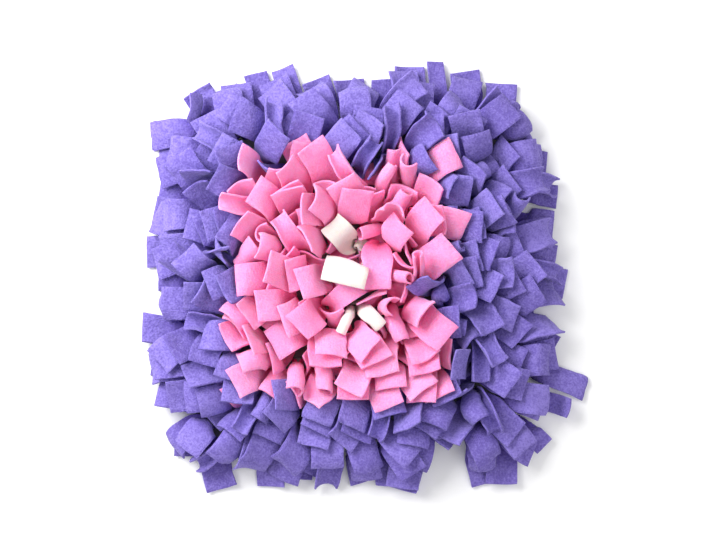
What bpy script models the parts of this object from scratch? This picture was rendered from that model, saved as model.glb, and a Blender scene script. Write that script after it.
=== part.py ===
"""Snuffle mat: square-cut fleece strips threaded through a perforated rubber mat.

The mat lies on the XY plane with +Z up and its origin at the centre of its underside.  Every
hole of the mat holds up to two tails of fleece.  Their loops under the mat are flat backing bands, one
run of holes to a band, and the outermost bands also send one tail from each place out over the
floor.  The tables are in millimetres and degrees, measured from +X towards +Y.
"""

import math
import random
from collections import namedtuple

import bmesh
import bpy
from mathutils import Vector
from mathutils.bvhtree import BVHTree

MM = 0.001

# Rubber mat
HOLES_PER_SIDE = 11
HOLE_PITCH = 0.029
HOLE_SIZE = 0.012
MAT_SIDE = 0.318
MAT_THICKNESS = 0.003

# Fleece
FLEECE_WIDTH = 0.027
FLEECE_THICKNESS = 0.0024
TAIL_LENGTH = 0.061
BUNCHED_WIDTH = 0.0078
BUNCHED_THICKNESS = 0.0034
BUNCHED_OFFSET = 0.0022
BAND_WIDTH = 0.020
BAND_THICKNESS = 0.0026
TUCKED_LENGTH = 0.008
TUCKED_WIDTH = 0.018
TUCKED_THICKNESS = 0.0022

# Fits
PARTING_GAP = 0.0003
LAYING_CLEARANCE = 0.0005
ROOT_DEPTH = 0.0013
COLLAR_HEIGHT = 0.0012

# How the tails lie
FLARE_SHARE = 0.28
MIDDLE_SHARE = 0.64
LEANS_BY_RING = (142, 118, 104, 88, 74, 62)
LEAN_STEP = 5
UPRIGHT_LEAN = 56
LEAST_LEAN = 35
MOST_LEAN = 166
HEADING_SPREAD = 42
PAIR_SPREAD = 16
PAIR_LEAN = 12
TURNS_TO_TRY = (0, 9, -9, 18, -18)
ROLL_SPREAD = 14
LENGTH_SPREAD = 0.07
FOLD_WIDTHS = (1.0, 0.7, 0.5)
FOLDED_SHARE = 0.75
FOLDED_THICKNESS = 0.0041
BACK_TO_BACK_COSINE = 0.5
LAYER_RISE = 0.0031
MOST_LAYERS = 7
SEED = 3

LAST = HOLES_PER_SIDE // 2
MAT_BOTTOM = BAND_THICKNESS + PARTING_GAP
MAT_TOP = MAT_BOTTOM + MAT_THICKNESS
EDGE_START = MAT_SIDE / 2 - TUCKED_LENGTH
EDGE_CLEAR = 0.004
EDGE_FLARE = 0.015

# The pink block and the white knot inside it, by hole column and row from the centre
PINK_COLUMNS = (-3, 2)
PINK_ROWS = (-3, 3)
WHITE_HOLES = ((0, -1), (0, 0), (0, 1))

# Tails that lie on the floor: the place along the side, where the tip ends, and its width
EdgeTail = namedtuple("EdgeTail", "place tip_x tip_y width")
EDGE_TAILS = {
    "top": (
        EdgeTail(-5, -163, 187, 27),
        EdgeTail(-4, -134, 184, 27),
        EdgeTail(-3, -107, 204, 20),
        EdgeTail(-2, -79, 209, 20),
        EdgeTail(-1, -45, 197, 26),
        EdgeTail(0, -13, 197, 27),
        EdgeTail(1, 33, 200, 24),
        EdgeTail(2, 52, 211, 27),
        EdgeTail(3, 77, 219, 14),
        EdgeTail(4, 112, 208, 26),
        EdgeTail(5, 146, 195, 27),
    ),
    "right": (
        EdgeTail(5, 171, 150, 27),
        EdgeTail(4, 190, 112, 27),
        EdgeTail(3, 203, 88, 20),
        EdgeTail(2, 200, 54, 24),
        EdgeTail(1, 203, 20, 27),
        EdgeTail(0, 210, -10, 26),
        EdgeTail(-1, 185, -36, 27),
        EdgeTail(-2, 190, -78, 27),
        EdgeTail(-3, 230, -109, 20),
        EdgeTail(-4, 217, -134, 16),
        EdgeTail(-5, 176, -183, 18),
    ),
    "bottom": (
        EdgeTail(5, 143, -203, 27),
        EdgeTail(4, 121, -206, 20),
        EdgeTail(2, 49, -211, 27),
        EdgeTail(1, 27, -207, 14),
        EdgeTail(0, 9, -203, 27),
        EdgeTail(-1, -34, -200, 24),
        EdgeTail(-2, -56, -200, 24),
        EdgeTail(-3, -81, -205, 24),
        EdgeTail(-4, -104, -192, 26),
        EdgeTail(-5, -133, -209, 27),
    ),
    "left": (
        EdgeTail(-5, -179, -172, 27),
        EdgeTail(-4, -188, -117, 27),
        EdgeTail(-3, -202, -89, 26),
        EdgeTail(-2, -210, -51, 26),
        EdgeTail(-1, -186, -35, 26),
        EdgeTail(0, -198, -4, 26),
        EdgeTail(1, -209, 18, 27),
        EdgeTail(2, -201, 72, 26),
        EdgeTail(3, -196, 91, 22),
        EdgeTail(4, -199, 115, 22),
        EdgeTail(5, -206, 138, 26),
    ),
}

# Tails that leave the general fan: the hole, which of its two tails, where it heads, how far it
# leans over, its width, its twist, and its rank, which is below 0 where it is laid before the rest
Stray = namedtuple("Stray", "column row tail heading lean width roll rank")
STRAYS = (
    # white knot
    Stray(0, 1, "outer", 132, 74, 20, 0, -3),
    Stray(0, 1, "inner", 312, 126, 15, 0, -3),
    Stray(0, 0, "outer", 200, 96, 27, 0, -3),
    Stray(0, 0, "inner", 20, 130, 12, 0, -3),
    Stray(0, -1, "outer", 248, 104, 13, 0, -3),
    Stray(0, -1, "inner", 318, 96, 14, 0, -3),
    # pink tails round the knot, some of them over it
    Stray(1, 1, "outer", 20, 92, 27, 0, 0),
    Stray(1, 1, "inner", 236, 88, 27, 0, -1),
    Stray(1, 0, "outer", 350, 92, 27, 0, 0),
    Stray(1, 0, "inner", 238, 70, 16, 0, -2),
    Stray(-1, 0, "outer", 184, 92, 27, 0, 0),
    Stray(-1, -1, "inner", 30, 70, 20, 0, -2),
    Stray(-1, 1, "outer", 160, 92, 27, 0, 0),
    Stray(-1, 1, "inner", 144, 78, 27, 0, 0),
    Stray(0, 2, "outer", 84, 92, 27, 0, 0),
    # pink tails at the edge of their block
    Stray(-3, 3, "outer", 124, 108, 27, 0, 0),
    Stray(-3, 3, "inner", 138, 92, 27, 0, 0),
    Stray(-2, 3, "outer", 96, 112, 24, 0, 0),
    Stray(-2, 3, "inner", 91, 96, 27, 0, 0),
    Stray(0, 3, "outer", 72, 112, 27, 0, 0),
    Stray(1, 3, "outer", 62, 96, 14, 0, 0),
    Stray(1, 3, "inner", 50, 88, 22, 0, 0),
    Stray(2, 3, "outer", 38, 116, 27, 0, 0),
    Stray(2, 3, "inner", 50, 92, 27, 0, 0),
    Stray(2, 2, "outer", 8, 100, 27, 0, 0),
    Stray(2, 2, "inner", 16, 86, 27, 0, 0),
    Stray(2, 1, "outer", 22, 108, 27, 0, 0),
    Stray(2, 0, "outer", 36, 96, 27, 0, 0),
    Stray(2, 0, "inner", 44, 84, 24, 0, 0),
    Stray(2, -1, "outer", 336, 116, 14, 0, 0),
    Stray(2, -3, "outer", 290, 96, 27, 0, 0),
    Stray(1, -3, "outer", 276, 116, 27, 0, 0),
    Stray(0, -3, "outer", 268, 96, 27, 0, 0),
    Stray(-2, -3, "outer", 254, 114, 27, 0, 0),
    Stray(-3, -3, "outer", 222, 104, 27, 0, 0),
    Stray(-3, -2, "outer", 184, 116, 22, 0, 0),
    Stray(-3, -1, "outer", 189, 106, 26, 0, 0),
    Stray(-3, 0, "outer", 188, 108, 16, 0, 0),
    Stray(-3, 2, "outer", 168, 108, 27, 0, 0),
    # purple tails that fall over the pink, and those that give way to them
    Stray(1, 4, "inner", 236, 66, 14, 0, -1),
    Stray(3, 3, "inner", 165, 52, 18, 0, -1),
    Stray(3, 3, "outer", 350, 100, 27, 0, 0),
    Stray(3, 0, "inner", 210, 66, 18, 0, -1),
    Stray(3, 0, "outer", 20, 106, 27, 0, 0),
    Stray(4, -3, "inner", 155, 66, 22, 0, -1),
    Stray(4, -3, "outer", 334, 112, 27, 0, 0),
    Stray(3, -2, "outer", 350, 96, 27, 0, 0),
    Stray(3, -2, "inner", 2, 84, 27, 0, 0),
    # the arch in the lower rim
    Stray(2, -5, "outer", 262, 120, 27, 0, 0),
    Stray(2, -5, "inner", 256, 104, 27, 0, 0),
    Stray(3, -5, "outer", 246, 84, 27, 0, 0),
    Stray(3, -5, "inner", 252, 72, 27, 0, 0),
    Stray(4, -5, "outer", 296, 90, 27, 0, 0),
    Stray(4, -5, "inner", 304, 80, 27, 0, 0),
    Stray(3, -4, "outer", 264, 94, 27, 0, 0),
    Stray(3, -4, "inner", 272, 82, 27, 0, 0),
)

# Materials: colour, roughness
FINISHES = {
    "rubber": ((0.030, 0.031, 0.034), 0.75),
    "purple": ((0.235, 0.180, 0.610), 0.95),
    "pink": ((0.950, 0.230, 0.420), 0.95),
    "white": ((0.930, 0.880, 0.800), 0.95),
}

StandingTail = namedtuple("StandingTail", "column row tail heading lean roll width length")
Section = namedtuple("Section", "centre across normal width thickness")
Tail = namedtuple("Tail", "sections tree low high")
Band = namedtuple("Band", "name colour low high holes sides")


def clear_scene():
    for old in list(bpy.data.objects):
        bpy.data.objects.remove(old, do_unlink=True)


def make_collection(name):
    collection = bpy.data.collections.new(name)
    bpy.context.scene.collection.children.link(collection)
    return collection


def make_material(name):
    colour, roughness = FINISHES[name]
    material = bpy.data.materials.new(name)
    material.use_nodes = True
    shader = material.node_tree.nodes["Principled BSDF"]
    shader.inputs["Base Color"].default_value = (*colour, 1.0)
    shader.inputs["Roughness"].default_value = roughness
    shader.inputs["Metallic"].default_value = 0.0
    material.diffuse_color = (*colour, 1.0)
    return material


def make_object(name, verts, faces, material, collection):
    mesh = bpy.data.meshes.new(name)
    mesh.from_pydata(verts, [], faces)
    mesh.materials.append(material)
    item = bpy.data.objects.new(name, mesh)
    collection.objects.link(item)
    return item


def box_object(name, low, high, material, collection):
    mesh = bpy.data.meshes.new(name)
    shape = bmesh.new()
    bmesh.ops.create_cube(shape, size=1.0)
    for vert in shape.verts:
        for axis in range(3):
            vert.co[axis] = high[axis] if vert.co[axis] > 0.0 else low[axis]
    shape.to_mesh(mesh)
    shape.free()
    mesh.materials.append(material)
    item = bpy.data.objects.new(name, mesh)
    collection.objects.link(item)
    return item


def boolean(item, helper, operation):
    modifier = item.modifiers.new(operation.lower(), "BOOLEAN")
    modifier.object = helper
    modifier.operation = operation
    modifier.solver = "EXACT"
    helper.hide_render = True
    helper.display_type = "WIRE"


def loft(sections):
    """Closed four-sided ribbon through a run of sections, as triangles that face out."""
    verts = []
    faces = []
    for section in sections:
        side = section.across * (section.width / 2)
        face = section.normal * (section.thickness / 2)
        for corner in (side + face, face - side, -side - face, side - face):
            verts.append(section.centre + corner)
    for ring in range(len(sections) - 1):
        for corner in range(4):
            a = ring * 4 + corner
            b = ring * 4 + (corner + 1) % 4
            faces.append((a, b, b + 4))
            faces.append((a, b + 4, a + 4))
    end = len(verts) - 4
    faces.append((0, 2, 1))
    faces.append((0, 3, 2))
    faces.append((end, end + 1, end + 2))
    faces.append((end, end + 2, end + 3))
    return verts, faces


def make_tail(sections, growth=0.0):
    """A tail above its backing band, with a search tree of its faces grown by a margin."""
    grown = []
    for section in sections[1:]:
        wider = section.width + 2 * growth
        thicker = section.thickness + 2 * growth
        grown.append(section._replace(width=wider, thickness=thicker))
    onward = (grown[-1].centre - grown[-2].centre).normalized()
    grown[-1] = grown[-1]._replace(centre=grown[-1].centre + onward * growth)
    verts, faces = loft(grown)
    low = [min(vert[axis] for vert in verts) for axis in range(3)]
    high = [max(vert[axis] for vert in verts) for axis in range(3)]
    return Tail(sections, BVHTree.FromPolygons(verts, faces), low, high)


def is_clear(sections, laid):
    """Whether a tail keeps the laying clearance to every tail laid before it."""
    trial = make_tail(sections, LAYING_CLEARANCE)
    for other in laid:
        apart = any(
            trial.low[axis] > other.high[axis] or trial.high[axis] < other.low[axis] for axis in range(3)
        )
        if not apart and trial.tree.overlap(other.tree):
            return False
    return True


def direction(degrees):
    return Vector((math.cos(math.radians(degrees)), math.sin(math.radians(degrees)), 0.0))


def parting_of(outer_heading, inner_heading):
    """The way in which the two tails of a hole stand apart: one behind the other, or back to back."""
    outer = direction(outer_heading)
    inner = direction(inner_heading)
    if outer.dot(inner) > BACK_TO_BACK_COSINE:
        return (outer + inner).normalized()
    return (outer - inner).normalized()


def standing_sections(root, parting, heading, lean, roll, width, length):
    """A tail that comes up through its hole, bunched, then spreads and leans over in one curve."""
    up = Vector((0.0, 0.0, 1.0))
    along = direction(heading)
    across = direction(heading + 90)
    root_across = up.cross(parting)
    root_width, root_thickness = BUNCHED_WIDTH, BUNCHED_THICKNESS
    if abs(root_across.dot(across)) < abs(parting.dot(across)):
        root_across = parting.copy()
        root_width, root_thickness = BUNCHED_THICKNESS, BUNCHED_WIDTH
    if root_across.dot(across) < 0.0:
        root_across.negate()
    root_normal = up.cross(root_across)
    folded = width < FLEECE_WIDTH * FOLDED_SHARE
    thickness = FOLDED_THICKNESS if folded else FLEECE_THICKNESS
    sections = []
    for height in (BAND_THICKNESS - ROOT_DEPTH, MAT_TOP + COLLAR_HEIGHT):
        centre = root + up * height
        sections.append(Section(centre, root_across, root_normal, root_width, root_thickness))
    turn = math.radians(lean)
    radius = length / turn
    start = sections[-1].centre
    for share in (FLARE_SHARE, MIDDLE_SHARE, 1.0):
        bend = turn * share
        centre = start + along * radius * (1.0 - math.cos(bend)) + up * radius * math.sin(bend)
        tangent = along * math.sin(bend) + up * math.cos(bend)
        normal = tangent.cross(across)
        swing = math.radians(roll) * share
        rolled = across * math.cos(swing) + normal * math.sin(swing)
        sections.append(Section(centre, rolled, tangent.cross(rolled), width, thickness))
    return sections


def lying_sections(start, outward, tip, width, layer):
    """A tail that leaves the end of a band under the mat's edge and lies out over the floor."""
    up = Vector((0.0, 0.0, 1.0))
    along = (tip - start).normalized()
    reach = (tip - start).length
    across = up.cross(along)
    root_across = up.cross(outward)
    rest = up * (FLEECE_THICKNESS / 2)
    lift = up * (layer * LAYER_RISE)
    tucked_width = min(width, TUCKED_WIDTH)
    tucked_centre = start + up * (BAND_THICKNESS / 2)
    leaving = start + outward * (MAT_SIDE / 2 + EDGE_CLEAR - EDGE_START) + rest
    spread = start + along * (EDGE_FLARE + MAT_SIDE / 2 - EDGE_START) + rest + lift
    middle = start + along * reach * MIDDLE_SHARE + rest + lift
    return [
        Section(tucked_centre, root_across, up, tucked_width, TUCKED_THICKNESS),
        Section(leaving, root_across, up, tucked_width, FLEECE_THICKNESS),
        Section(spread, across, up, width, FLEECE_THICKNESS),
        Section(middle, across, up, width, FLEECE_THICKNESS),
        Section(tip + rest + lift, across, up, width, FLEECE_THICKNESS),
    ]


def ring_of(column, row):
    return LAST - max(abs(column), abs(row))


def colour_of(column, row):
    if (column, row) in WHITE_HOLES:
        return "white"
    in_block = PINK_COLUMNS[0] <= column <= PINK_COLUMNS[1] and PINK_ROWS[0] <= row <= PINK_ROWS[1]
    return "pink" if in_block else "purple"


def hole_centre(column, row):
    return Vector((column * HOLE_PITCH, row * HOLE_PITCH, 0.0))


def lay_edge_tails(laid):
    """Tails on the floor: each lies on those before it where they would meet."""
    placed = {}
    outwards = {
        "top": Vector((0.0, 1.0, 0.0)),
        "right": Vector((1.0, 0.0, 0.0)),
        "bottom": Vector((0.0, -1.0, 0.0)),
        "left": Vector((-1.0, 0.0, 0.0)),
    }
    for side, table in EDGE_TAILS.items():
        outward = outwards[side]
        sideways = Vector((abs(outward.y), abs(outward.x), 0.0))
        for row in table[::2] + table[1::2]:
            start = outward * EDGE_START + sideways * row.place * HOLE_PITCH
            tip = Vector((row.tip_x, row.tip_y, 0.0)) * MM
            for layer in range(MOST_LAYERS):
                sections = lying_sections(start, outward, tip, row.width * MM, layer)
                if is_clear(sections, laid):
                    laid.append(make_tail(sections))
                    placed[side, row.place] = sections
                    break
    return placed


def tail_plan():
    """Both tails of every hole in the order of laying: by rank, then from the rim inwards."""
    draw = random.Random(SEED)
    strays = {(stray.column, stray.row, stray.tail): stray for stray in STRAYS}
    plan = []
    for row in range(-LAST, LAST + 1):
        for column in range(-LAST, LAST + 1):
            fan = math.degrees(math.atan2(row, column)) + draw.uniform(-HEADING_SPREAD, HEADING_SPREAD)
            ring_lean = LEANS_BY_RING[ring_of(column, row)]
            for tail in ("outer", "inner"):
                order = (-math.hypot(column, row), tail == "inner", draw.random())
                heading = fan + draw.uniform(-PAIR_SPREAD, PAIR_SPREAD)
                roll = draw.uniform(-ROLL_SPREAD, ROLL_SPREAD)
                length = TAIL_LENGTH * (1.0 + draw.uniform(-LENGTH_SPREAD, LENGTH_SPREAD))
                lean = ring_lean if tail == "outer" else ring_lean - PAIR_LEAN
                rank = 0
                width = FLEECE_WIDTH
                stray = strays.get((column, row, tail))
                if stray:
                    heading, lean, roll, rank = stray.heading, stray.lean, stray.roll, stray.rank
                    width = stray.width * MM
                item = StandingTail(column, row, tail, heading, lean, roll, width, length)
                plan.append((rank, *order, item))
    return [entry[-1] for entry in sorted(plan)]


def ways_to_lie(lean):
    """Leans and foldings to try: more upright first, then bowed down under the neighbours."""
    return (
        (range(lean, UPRIGHT_LEAN, -LEAN_STEP), FOLD_WIDTHS[:2]),
        (range(lean, LEAST_LEAN, -LEAN_STEP), FOLD_WIDTHS),
        (range(lean + LEAN_STEP, MOST_LEAN, LEAN_STEP), FOLD_WIDTHS),
    )


def lay_standing_tails(laid):
    """Each tail is laid over those before it, and stands up more where they would meet."""
    plan = tail_plan()
    headings = {(item.column, item.row, item.tail): item.heading for item in plan}
    placed = {}
    for item in plan:
        hole = item.column, item.row
        parting = parting_of(headings[(*hole, "outer")], headings[(*hole, "inner")])
        offset = BUNCHED_OFFSET if item.tail == "outer" else -BUNCHED_OFFSET
        root = hole_centre(*hole) + parting * offset
        tries = [
            (item.heading + turn, lean, item.roll * straight, item.width * narrowing)
            for leans, folds in ways_to_lie(item.lean)
            for lean in leans
            for narrowing in folds
            for turn in TURNS_TO_TRY
            for straight in (1, 0)
        ]
        for heading, lean, roll, width in tries:
            sections = standing_sections(root, parting, heading, lean, roll, width, item.length)
            if is_clear(sections, laid):
                laid.append(make_tail(sections))
                placed[(*hole, item.tail)] = sections
                break
    return placed


def runs_in(row):
    """The columns of a row in runs of one colour."""
    runs = []
    for column in range(-LAST, LAST + 1):
        colour = colour_of(column, row)
        if runs and runs[-1][0] == colour:
            runs[-1][1].append(column)
        else:
            runs.append((colour, [column]))
    return runs


def bands():
    """Backing bands: one under each run of a colour, and one along the white holes."""
    half_run = HOLE_PITCH / 2 - PARTING_GAP / 2
    half_band = BAND_WIDTH / 2
    found = []
    for row in range(-LAST, LAST + 1):
        runs = runs_in(row)
        middle = row * HOLE_PITCH
        for colour, columns in runs:
            if colour == "white":
                continue
            low_x = -MAT_SIDE / 2 if columns[0] == -LAST else columns[0] * HOLE_PITCH - half_run
            high_x = MAT_SIDE / 2 if columns[-1] == LAST else columns[-1] * HOLE_PITCH + half_run
            alone = sum(run[0] == colour for run in runs) == 1
            side = "" if alone else ("_left" if columns[0] < 0 else "_right")
            found.append(Band(
                f"{colour}_row_{row + LAST + 1:02d}{side}",
                colour,
                (low_x, middle - half_band, 0.0),
                (high_x, middle + half_band, BAND_THICKNESS),
                [(column, row) for column in columns],
                edge_places(columns, row),
            ))
    found.append(Band(
        "white_knot",
        "white",
        (-half_run, WHITE_HOLES[0][1] * HOLE_PITCH - half_band, 0.0),
        (half_run, WHITE_HOLES[-1][1] * HOLE_PITCH + half_band, BAND_THICKNESS),
        list(WHITE_HOLES),
        [],
    ))
    return found


def edge_places(columns, row):
    """The places along the mat's sides whose floor tails grow from this run of holes."""
    places = []
    if columns[0] == -LAST:
        places.append(("left", row))
    if columns[-1] == LAST:
        places.append(("right", row))
    if row == LAST:
        places.extend(("top", column) for column in columns)
    if row == -LAST:
        places.extend(("bottom", column) for column in columns)
    return places


def loft_all(strands):
    """The lofts of several tails as one list of corners and faces."""
    verts = []
    faces = []
    for sections in strands:
        more_verts, more_faces = loft(sections)
        faces.extend(tuple(index + len(verts) for index in face) for face in more_faces)
        verts.extend(more_verts)
    return verts, faces


def build_bands(edge_tails, standing_tails, parts, helpers):
    """Each band is a flat strip under its holes with all its tails joined on."""
    materials = {colour: make_material(colour) for colour in ("purple", "pink", "white")}
    for band in bands():
        material = materials[band.colour]
        item = box_object(band.name, band.low, band.high, material, parts)
        strands = [edge_tails[place] for place in band.sides if place in edge_tails]
        for hole in band.holes:
            for tail in ("outer", "inner"):
                if (*hole, tail) in standing_tails:
                    strands.append(standing_tails[(*hole, tail)])
        tails = make_object(f"{band.name}_tails", *loft_all(strands), material, helpers)
        boolean(item, tails, "UNION")


def build_mat(parts, helpers):
    """The rubber mat with its square holes punched through."""
    half = MAT_SIDE / 2
    mid_height = Vector((0.0, 0.0, (MAT_BOTTOM + MAT_TOP) / 2))
    rubber = make_material("rubber")
    mat = box_object("base_mat", (-half, -half, MAT_BOTTOM), (half, half, MAT_TOP), rubber, parts)
    shape = bmesh.new()
    for row in range(-LAST, LAST + 1):
        for column in range(-LAST, LAST + 1):
            punch = bmesh.ops.create_cube(shape, size=HOLE_SIZE)["verts"]
            bmesh.ops.translate(shape, verts=punch, vec=hole_centre(column, row) + mid_height)
    mesh = bpy.data.meshes.new("hole_punches")
    shape.to_mesh(mesh)
    shape.free()
    punches = bpy.data.objects.new("hole_punches", mesh)
    helpers.objects.link(punches)
    boolean(mat, punches, "DIFFERENCE")


def build():
    clear_scene()
    parts = make_collection("snuffle_mat")
    helpers = make_collection("cutters")
    laid = []
    edge_tails = lay_edge_tails(laid)
    standing_tails = lay_standing_tails(laid)
    build_bands(edge_tails, standing_tails, parts, helpers)
    build_mat(parts, helpers)


build()
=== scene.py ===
"""Snuffle mat: fleece tails pulled through a perforated rubber mat, settled as cloth."""

import math
import random
from collections import namedtuple

import bpy
import numpy as np
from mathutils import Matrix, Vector
from mathutils.bvhtree import BVHTree


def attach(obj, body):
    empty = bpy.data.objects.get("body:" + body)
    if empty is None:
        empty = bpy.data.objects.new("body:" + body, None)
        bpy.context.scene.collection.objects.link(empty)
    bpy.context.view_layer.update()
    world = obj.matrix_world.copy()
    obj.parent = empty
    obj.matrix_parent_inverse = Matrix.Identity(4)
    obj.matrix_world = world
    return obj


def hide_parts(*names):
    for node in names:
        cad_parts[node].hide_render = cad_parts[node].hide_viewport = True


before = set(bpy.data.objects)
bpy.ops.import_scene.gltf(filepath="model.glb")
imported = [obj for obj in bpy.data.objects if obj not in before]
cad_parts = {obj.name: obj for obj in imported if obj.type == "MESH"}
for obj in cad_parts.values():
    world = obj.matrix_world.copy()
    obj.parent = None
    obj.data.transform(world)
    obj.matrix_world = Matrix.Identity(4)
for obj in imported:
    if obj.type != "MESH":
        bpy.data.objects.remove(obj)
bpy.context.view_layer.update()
bpy.ops.object.select_all(action="DESELECT")


# Rubber mat: a moulded sheet with a grid of square holes, the backing that all the fleece is tied
# through.  It shows from below and at its edge, as dull dark grey rubber with a fine moulded grain.

HOLES_PER_SIDE = 11
HOLE_PITCH = 0.029
MAT_SIDE = 0.318
MAT_TOP = 0.0059
LAST = HOLES_PER_SIDE // 2


class Signal:
    """A shader socket on which arithmetic adds Math nodes."""

    def __init__(self, shading, socket):
        self.shading = shading
        self.socket = socket

    def with_math(self, operation, first, second):
        values = {0: first, 1: second}
        return self.shading.node("ShaderNodeMath", {"operation": operation}, values)["Value"]

    def __add__(self, other):
        return self.with_math("ADD", self, other)

    def __radd__(self, other):
        return self.with_math("ADD", other, self)

    def __sub__(self, other):
        return self.with_math("SUBTRACT", self, other)

    def __rsub__(self, other):
        return self.with_math("SUBTRACT", other, self)

    def __mul__(self, other):
        return self.with_math("MULTIPLY", self, other)

    def __rmul__(self, other):
        return self.with_math("MULTIPLY", other, self)


class Shading:
    """A material and its nodes; node() adds any node from its type, settings and socket values."""

    def __init__(self, name):
        self.material = bpy.data.materials.new(name)
        self.material.use_nodes = True
        self.tree = self.material.node_tree
        self.shader = self.tree.nodes["Principled BSDF"]

    def node(self, kind, settings, values):
        made = self.tree.nodes.new(kind)
        for name, value in settings.items():
            setattr(made, name, value)
        for name, value in values.items():
            self.feed(made.inputs[name], value)
        return {socket.name: Signal(self, socket) for socket in made.outputs if socket.enabled}

    def feed(self, socket, value):
        if isinstance(value, Signal):
            self.tree.links.new(value.socket, socket)
        else:
            socket.default_value = value

    def set(self, **values):
        for name, value in values.items():
            self.feed(self.shader.inputs[name.replace("_", " ")], value)


def rubber_material():
    shading = Shading("moulded_rubber")
    place = shading.node("ShaderNodeTexCoord", {}, {})["Object"]
    grain = shading.node("ShaderNodeTexNoise", {}, {"Vector": place, "Scale": 1400.0, "Detail": 3.0})["Fac"]
    scuffs = shading.node("ShaderNodeTexNoise", {}, {"Vector": place, "Scale": 60.0, "Detail": 5.0})["Fac"]
    dust = shading.node(
        "ShaderNodeMix",
        {"data_type": "RGBA"},
        {0: scuffs, 6: (0.070, 0.068, 0.074, 1.0), 7: (0.140, 0.136, 0.146, 1.0)},
    )["Result"]
    relief = shading.node("ShaderNodeBump", {}, {"Height": grain, "Strength": 0.4, "Distance": 0.0002})
    shading.set(Base_Color=dust, Roughness=0.62 + 0.2 * scuffs, Normal=relief["Normal"])
    return shading.material


base_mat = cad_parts["base_mat"]
base_mat.data.materials.clear()
base_mat.data.materials.append(rubber_material())


# Fleece: every tail is the end of a square-cut strip of soft anti-pill fleece, about 27 mm across as
# it lies.  One cut strip is modelled flat, and each tail is a copy of it.

FLEECE_WIDTH = 0.027
FLEECE_THICKNESS = 0.0024
TAIL_LENGTH = 0.061
BAND_THICKNESS = 0.0026
CELLS_ACROSS = 5
CELLS_ALONG = 12
HELD_ROWS = 2
MM = 0.001
UP = Vector((0.0, 0.0, 1.0))

bpy.ops.mesh.primitive_grid_add(x_subdivisions=CELLS_ACROSS, y_subdivisions=CELLS_ALONG, size=1.0)
cut_strip = bpy.context.object
cut_strip.name = "cut_strip"
POINTS_PER_STRIP = len(cut_strip.data.vertices)
strip_columns = [round((vert.co.x + 0.5) * CELLS_ACROSS) for vert in cut_strip.data.vertices]
strip_rows = [round((vert.co.y + 0.5) * CELLS_ALONG) for vert in cut_strip.data.vertices]
free_points = [index for index, row in enumerate(strip_rows) if row >= HELD_ROWS]
held_points = [index for index, row in enumerate(strip_rows) if row < HELD_ROWS]
held_rows = cut_strip.vertex_groups.new(name="held")
held_rows.add(held_points, 1.0, "REPLACE")

Section = namedtuple("Section", "centre across normal width thickness")
Tail = namedtuple("Tail", "tree low high")


def copy_of(model):
    """A copy of a cut strip or loop with a mesh of its own."""
    item = model.copy()
    item.data = model.data.copy()
    bpy.context.scene.collection.objects.link(item)
    return item


def ribbon(sections):
    """Corners and faces of a plain four-sided ribbon through a run of sections."""
    corners = []
    faces = []
    for section in sections:
        side = section.across * (section.width / 2)
        face = section.normal * (section.thickness / 2)
        offsets = (side + face, face - side, -side - face, side - face)
        corners.extend(section.centre + offset for offset in offsets)
    for ring in range(len(sections) - 1):
        for corner in range(4):
            a = ring * 4 + corner
            b = ring * 4 + (corner + 1) % 4
            faces.extend(((a, b, b + 4), (a, b + 4, a + 4)))
    end = len(corners) - 4
    faces.extend(((0, 2, 1), (0, 3, 2), (end, end + 1, end + 2), (end, end + 2, end + 3)))
    return corners, faces


def make_tail(sections, growth=0.0):
    """A tail above its backing, as a search tree of its faces grown by a margin, and its extent."""
    grown = [
        section._replace(width=section.width + 2 * growth, thickness=section.thickness + 2 * growth)
        for section in sections[1:]
    ]
    onward = (grown[-1].centre - grown[-2].centre).normalized()
    grown[-1] = grown[-1]._replace(centre=grown[-1].centre + onward * growth)
    corners, faces = ribbon(grown)
    low = [min(corner[axis] for corner in corners) for axis in range(3)]
    high = [max(corner[axis] for corner in corners) for axis in range(3)]
    return Tail(BVHTree.FromPolygons(corners, faces), low, high)


LAYING_CLEARANCE = 0.0005


def is_clear(sections, laid):
    """Whether a tail keeps the laying clearance to every tail laid before it."""
    trial = make_tail(sections, LAYING_CLEARANCE)
    for other in laid:
        apart = any(
            trial.low[axis] > other.high[axis] or trial.high[axis] < other.low[axis] for axis in range(3)
        )
        if not apart and trial.tree.overlap(other.tree):
            return False
    return True


# Floor tails: the strips at the rim are looped round the mat's edge, so one end of each comes out
# under the mat and lies flat on the floor.  Those that would meet lie on each other in layers.

EDGE_START = 0.151
EDGE_CLEAR = 0.004
EDGE_FLARE = 0.015
TUCKED_WIDTH = 0.018
TUCKED_THICKNESS = 0.0022
MIDDLE_SHARE = 0.64
LAYER_RISE = 0.0031
MOST_LAYERS = 7

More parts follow.
